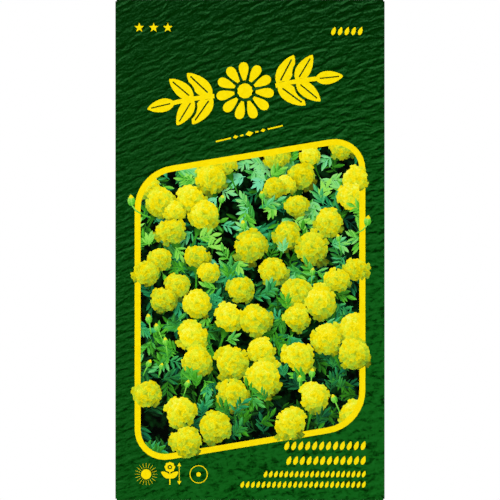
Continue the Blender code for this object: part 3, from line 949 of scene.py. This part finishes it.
def inked(tree, shader, level, shares, stages, inks, factor, light):
    """Colours a part of the picture. Its level, with its patterns times their shares, picks from two rows
    of inks, which are mixed by the factor and dimmed by the shadows printed on them."""
    for pattern, share in shares:
        level = node(tree, "Math", [pattern, share, level], operation="MULTIPLY_ADD")[0]
    ramps = [node(tree, "ValToRGB", [level], zip(stages, row))[0] for row in inks]
    colour = node(tree, "Mix", {0: factor, 6: ramps[0], 7: ramps[1]}, data_type="RGBA")[2]
    shaded = node(tree, "VectorMath", {0: colour, "Scale": light}, operation="SCALE")[0]
    tree.links.new(shaded, shader.inputs["Base Color"])


# Printed petals: yellow at their tips and olive in the folds between them, cooler and warmer in patches
PETAL_START, ALONG_PETAL, STREAKS, TOWARDS_SIDES = -0.61, 0.48, 0.54, -0.10
PATCH = 1.3 * MM
PETAL_STAGES = (0.0, 0.14, 0.28, 0.42, 0.56, 0.70, 0.84, 1.0)
LEMON = ("#446014", "#6A9626", "#8CB52A", "#AAC928", "#C5D928", "#DDE628", "#EEF02C", "#F6FA60")
GOLD = ("#505808", "#828A0C", "#A4AA08", "#C2BE04", "#DCCE03", "#F0DD04", "#FAE708", "#FEF334")
petal, tree, shader, spot = printed("offset_printed_petals")
where, parts, tone_there, light_there = picture_inputs(tree)
drawn_out = node(tree, "Mapping", {"Vector": where, "Scale": (1.4, 3.0, 1)})[0]
streak = node(tree, "TexNoise", {"Vector": drawn_out, "Scale": 1.0, "Detail": 3.0})[0]
rounding = node(tree, "Math", [parts[1], parts[1]], operation="MULTIPLY")[0]
level = node(tree, "Math", [tone_there, PETAL_START], operation="ADD")[0]
shares = [(parts[0], ALONG_PETAL), (streak, STREAKS), (rounding, TOWARDS_SIDES)]
patch = node(tree, "TexNoise", {"Vector": spot, "Scale": 1 / PATCH, "Detail": 3.0})[0]
warmth = node(tree, "MapRange", {"Value": patch, "From Min": 0.40, "From Max": 0.58})[0]
inked(tree, shader, level, shares, PETAL_STAGES, (LEMON, GOLD), warmth, light_there)

# Printed leaves: from dark to a fresh green, some of them cool, one half of each lighter than the other
ONE_HALF, LEAF_STREAKS, ALONG_LEAF = 0.11, 0.40, 0.16
RIB_WIDTH, RIB_TONE, OFF_RIB_TONE = 0.25, -0.14, -0.28
LEAF_STAGES = (0.0, 0.15, 0.32, 0.48, 0.64, 0.80, 1.0)
FRESH = ("#030A02", "#0C2908", "#1D5210", "#2E7816", "#419D20", "#5EC034", "#98E258")
COOL = ("#020D0A", "#08281C", "#0F4C32", "#167044", "#249458", "#42B474", "#74D8A4")
leaf, tree, shader, _ = printed("offset_printed_leaves")
where, parts, tone_there, light_there = picture_inputs(tree)
streak = node(tree, "TexNoise", {"Vector": where, "Scale": 2.6, "Detail": 2.0})[0]
off_rib = node(tree, "Math", [parts[1]], operation="ABSOLUTE")[0]
rib = node(tree, "MapRange", {"Value": off_rib, "From Max": RIB_WIDTH, "To Min": RIB_TONE,
                              "To Max": OFF_RIB_TONE})[0]
level = node(tree, "Math", [rib, tone_there], operation="ADD")[0]
shares = [(parts[1], ONE_HALF), (streak, LEAF_STREAKS), (parts[0], ALONG_LEAF)]
coolness = node(tree, "MapRange", {"Value": parts[2], "From Min": 3.0, "From Max": 9.0})[0]
inked(tree, shader, level, shares, LEAF_STAGES, (FRESH, COOL), coolness, light_there)

# The uncoated side of the paper, also its cut edges and the back panels: off-white, with fine fibres
bare, tree, shader, spot = finish("uncoated_paper", roughness=0.75, specular=0.3)
mottled(tree, shader, spot, size=1.4 * MM, detail=5.0, stops=[(0.3, "#EDE9DA"), (0.7, "#F8F5EA")],
        depth=0.01 * MM, strength=0.5)

for material in (ground, yellow, night, petal, leaf, bare):
    mesh.materials.append(material)
envelope_paper = bpy.data.objects.new("envelope_paper", mesh)
bpy.context.scene.collection.objects.link(envelope_paper)
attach(envelope_paper, "root")
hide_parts("envelope")


# The sachet: two webs of thin white pouch paper, heat-sealed to each other along all four sides. They
# keep their CAD shape. The sealing jaws leave fine crossed ridges, and the paper there is duller.
SEAL_WIDTH, SEAL_EDGE = 5.0, 0.2 * MM
CRIMP_PITCH, CRIMP_DEPTH, FIBRE = 0.9 * MM, 0.03 * MM, 1.1 * MM
pouch, tree, shader, spot = finish("heat_sealed_pouch_paper", roughness=0.55, specular=0.3)
centring = (0, -SACHET_MIDDLE_Y * MM, 0)
beyond = node(tree, "VectorMath", [spot, centring], operation="ADD")[0]
beyond = node(tree, "VectorMath", [beyond], operation="ABSOLUTE")[0]
inside = ((SACHET_HALF[0] - SEAL_WIDTH) * MM, (SACHET_HALF[1] - SEAL_WIDTH) * MM, 0)
beyond = node(tree, "VectorMath", [beyond, inside], operation="SUBTRACT")[0]
x, y, _ = node(tree, "SeparateXYZ", [beyond])
beyond = node(tree, "Math", [x, y], operation="MAXIMUM")[0]
sealed = node(tree, "MapRange", {"Value": beyond, "From Max": SEAL_EDGE})[0]
ridges = []
for turn in (45, -45):
    turned = node(tree, "Mapping", {"Vector": spot, "Rotation": (0, 0, math.radians(turn))})[0]
    ridges.append(node(tree, "TexWave", {"Vector": turned, "Scale": WAVE_LENGTH / CRIMP_PITCH})[1])
crossed = node(tree, "Math", ridges, operation="MAXIMUM")[0]
crimped = node(tree, "Math", [crossed, sealed], operation="MULTIPLY")[0]
bump = node(tree, "Bump", {"Height": crimped, "Distance": CRIMP_DEPTH})[0]
tree.links.new(bump, shader.inputs["Normal"])
fibres = node(tree, "TexNoise", {"Vector": spot, "Scale": 1 / FIBRE, "Detail": 6.0, "Distortion": 1.5})[0]
paper = node(tree, "ValToRGB", [fibres], [(0.35, "#E2E0D6"), (0.65, "#F4F3EC")])[0]
dull = node(tree, "Mix", {0: sealed, 6: paper, 7: linear("#D8D6CC")}, data_type="RGBA")[2]
tree.links.new(dull, shader.inputs["Base Color"])
for name in ("sachet_back_web", "sachet_front_web"):
    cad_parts[name].material_slots[0].material = pouch


# The seeds: loose marigold achenes, each a slim near-black body with eight ribs and a pale foot, and a
# brush of straw-coloured bristles at its far end. One is modelled along X and then copied to each place.
# Its stations are a distance from the foot and the radius there.
SEED_STATIONS = [(0.0, 0.09), (0.35, 0.15), (0.9, 0.24), (2.0, 0.32), (3.6, 0.38), (5.2, 0.37),
                 (6.3, 0.33), (6.8, 0.22)]
SEED_SIDES, GROOVE = 16, 0.80
FOOT_LENGTH = 0.5
BRISTLES, BRISTLE_TIP, BRISTLE_SHORTER, BRISTLE_SUNK = 9, 10.15, 0.25, 0.1
BRISTLE_THICK, BRISTLE_THIN = 0.055, 0.015
BRUSH_NARROW, BRUSH_WIDE = 0.13, 0.27

coat, tree, shader, spot = finish("marigold_seed_coat", roughness=0.62, specular=0.35)
mottled(tree, shader, spot, size=0.35 * MM, detail=4.0, stops=[(0.3, "#17120E"), (0.7, "#3A3027")],
        depth=0.02 * MM, strength=0.6)
straw, tree, shader, spot = finish("marigold_seed_brush", roughness=0.7, specular=0.3)
mottled(tree, shader, spot, size=0.5 * MM, detail=3.0, stops=[(0.3, "#B89C68"), (0.7, "#E0CC9C")])

bpy.ops.object.select_all(action="DESELECT")
bpy.ops.mesh.primitive_circle_add(vertices=SEED_SIDES, radius=SEED_STATIONS[0][1] * MM, fill_type="NGON",
                                  rotation=(0, math.pi / 2, 0))
seed = bpy.context.object
bpy.ops.object.transform_apply(rotation=True)
bpy.ops.object.mode_set(mode="EDIT")
bpy.ops.mesh.select_all(action="SELECT")
for (near, narrow), (far, wide) in zip(SEED_STATIONS, SEED_STATIONS[1:]):
    bpy.ops.mesh.extrude_region_move(TRANSFORM_OT_translate={"value": ((far - near) * MM, 0, 0)})
    bpy.ops.transform.resize(value=(1, wide / narrow, wide / narrow), center_override=(0, 0, 0))
bpy.ops.mesh.select_all(action="DESELECT")
bpy.ops.object.mode_set(mode="OBJECT")
for vertex in seed.data.vertices:
    side = math.atan2(vertex.co.z, vertex.co.y) / math.tau * SEED_SIDES
    vertex.select = round(side) % 2 == 1
bpy.ops.object.mode_set(mode="EDIT")
bpy.ops.transform.resize(value=(1, GROOVE, GROOVE), center_override=(0, 0, 0))
bpy.ops.mesh.select_all(action="SELECT")
bpy.ops.mesh.normals_make_consistent(inside=False)
bpy.ops.object.mode_set(mode="OBJECT")
seed.data.materials.append(coat)
seed.data.materials.append(straw)
for face in seed.data.polygons:
    face.material_index = 1 if face.center.x < FOOT_LENGTH * MM else 0
bpy.ops.object.shade_smooth()

bristles = []
for n in range(BRISTLES):
    way = Vector((0, math.cos(math.tau * n / BRISTLES), math.sin(math.tau * n / BRISTLES)))
    foot = Vector((SEED_STATIONS[-1][0] - BRISTLE_SUNK, 0, 0)) + way * BRUSH_NARROW
    tip = Vector((BRISTLE_TIP - BRISTLE_SHORTER * (n * 5 % BRISTLES), 0, 0)) + way * BRUSH_WIDE
    bpy.ops.mesh.primitive_cone_add(vertices=4, radius1=BRISTLE_THICK * MM, radius2=BRISTLE_THIN * MM,
                                    depth=(tip - foot).length * MM, location=(foot + tip) / 2 * MM,
                                    rotation=(tip - foot).to_track_quat("Z", "Y").to_euler())
    bpy.context.object.data.materials.append(straw)
    bristles.append(bpy.context.object)
bpy.ops.object.select_all(action="DESELECT")
for piece in (seed, *bristles):
    piece.select_set(True)
bpy.context.view_layer.objects.active = seed
bpy.ops.object.join()

# Each seed's place is read from its CAD node: the brush is the end further from the mean of its corners.
# Each is rolled by its own number of radians
for number, name in enumerate(seed_nodes):
    corners = np.array([vertex.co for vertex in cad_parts[name].data.vertices])
    middle = corners.mean(axis=0)
    along = np.linalg.svd(corners - middle, full_matrices=False)[2][0]
    reach = (corners - middle) @ along
    if reach.max() < -reach.min():
        along, reach = -along, -reach
    foot = Vector(middle + along * reach.min())
    turned = Matrix.Rotation(math.atan2(along[1], along[0]), 4, "Z") @ Matrix.Rotation(number, 4, "X")
    achene = seed.copy()
    achene.data = seed.data.copy()
    achene.name = name + "_achene"
    achene.data.transform(Matrix.Translation(foot) @ turned)
    bpy.context.scene.collection.objects.link(achene)
    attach(achene, "root")
    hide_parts(name)
bpy.data.objects.remove(seed)


# The studio: a white table lit from below, so that no shadow lies on it, four soft lamps round the packet,
# and a camera straight above it with a long lens, whose picture is all but as high as the packet.
LENS, SENSOR, CLIP_END = 200.0, 36.0, 20
PICTURE_SHARE, PICTURE_LEVEL = 0.9974, 0.9
camera_height = (envelope_high.y - envelope_low.y) * LENS / SENSOR * PICTURE_SHARE + PICTURE_LEVEL
camera = bpy.data.cameras.new("camera")
camera.lens, camera.sensor_width, camera.clip_end = LENS, SENSOR, CLIP_END
camera_object = bpy.data.objects.new("camera", camera)
camera_object.location = (0, 0, camera_height * MM)
bpy.context.scene.collection.objects.link(camera_object)
bpy.context.scene.camera = camera_object

LAMP_POWER, LAMP_SIZE, LAMP_DISTANCE = 4.0, 0.5, 1.0
for azimuth, strength in ((45, 0.85), (135, 1.20), (225, 0.85), (315, 0.80)):
    lamp = bpy.data.lights.new("soft_lamp", "AREA")
    lamp.shape, lamp.size, lamp.energy = "DISK", LAMP_SIZE, LAMP_POWER * strength
    lamp_object = bpy.data.objects.new("soft_lamp", lamp)
    way = Vector((math.cos(math.radians(azimuth)), math.sin(math.radians(azimuth)), 1.0)).normalized()
    lamp_object.location = way * LAMP_DISTANCE
    lamp_object.rotation_euler = way.to_track_quat("Z", "Y").to_euler()
    bpy.context.scene.collection.objects.link(lamp_object)

WORLD_STRENGTH = 0.03
world = bpy.data.worlds.new("studio")
bpy.context.scene.world = world
world.use_nodes = True
background = world.node_tree.nodes["Background"].inputs
background["Color"].default_value = linear("#F4F6F8")
background["Strength"].default_value = WORLD_STRENGTH

TABLE_SIZE, TABLE_GAP = 4, 0.02 * MM
bpy.ops.mesh.primitive_plane_add(size=TABLE_SIZE, location=(0, 0, -TABLE_GAP))
table = bpy.context.object
table.name = "table"
matt, _, shader, _ = finish("lit_white_table", roughness=0.9, specular=0.0)
shader.inputs["Base Color"].default_value = linear("#000000")
shader.inputs["Emission Color"].default_value = linear("#FFFFFF")
shader.inputs["Emission Strength"].default_value = 1.0
table.data.materials.append(matt)
bpy.context.scene.view_settings.view_transform = "Standard"
